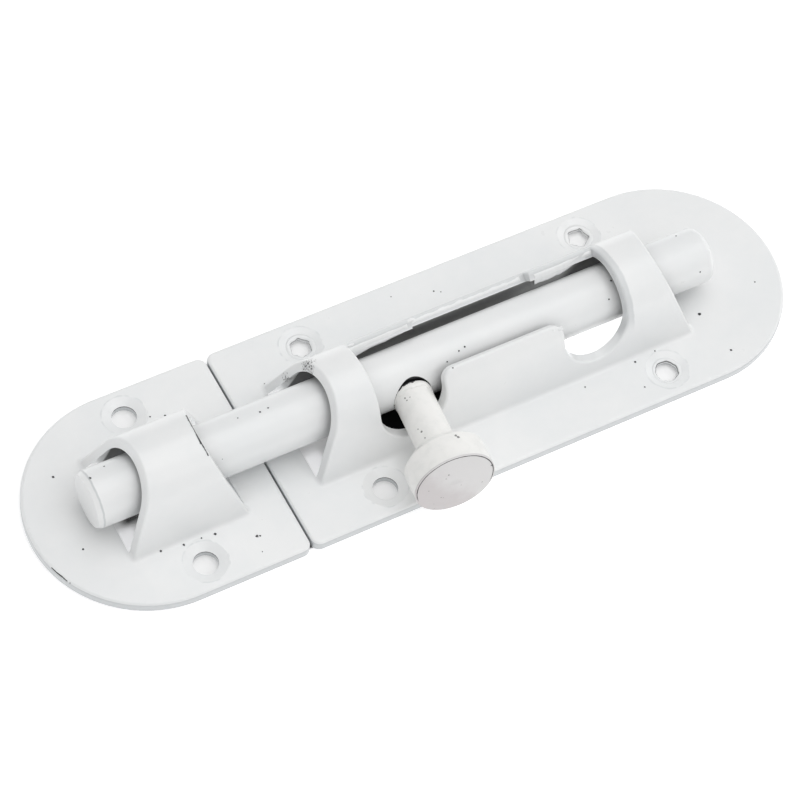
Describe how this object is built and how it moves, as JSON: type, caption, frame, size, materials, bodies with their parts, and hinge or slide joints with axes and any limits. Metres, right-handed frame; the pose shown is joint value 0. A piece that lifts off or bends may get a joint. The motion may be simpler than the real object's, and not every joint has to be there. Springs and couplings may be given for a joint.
{
  "type": "door bolt",
  "caption": "White painted surface door bolt: round bar with a turned knob in a pressed plate with bridges and locking notches, and a bridged keeper plate.",
  "frame": {"origin": "centre of the main plate's rectangle of screw holes, on the door's face", "axes": "+X along the bolt, away from the keeper; +Z out of the door; the knob lies towards -Y at rest"},
  "size_m": [0.1729, 0.0548, 0.0206],
  "materials": {
    "white_paint": "glossy",
    "white_paint_bar": "glossy",
    "white_paint_knob": "satin"
  },
  "bodies": {
    "main": {"main_plate": "white_paint"},
    "bolt": {"bolt": "white_paint_bar", "knob": "white_paint_knob"},
    "keeper": {"keeper_plate": "white_paint"}
  },
  "joints": [
    {"name": "bolt_turn", "type": "hinge", "parent": "main", "child": "bolt", "pos_m": [0, 0, 0.0092], "axis": [-1, 0, 0], "range_deg": [0, 95]},
    {"name": "keeper_slide", "type": "slide", "parent": "main", "child": "keeper", "axis": [-1, 0, 0], "range_m": [0, 0.042]}
  ]
}
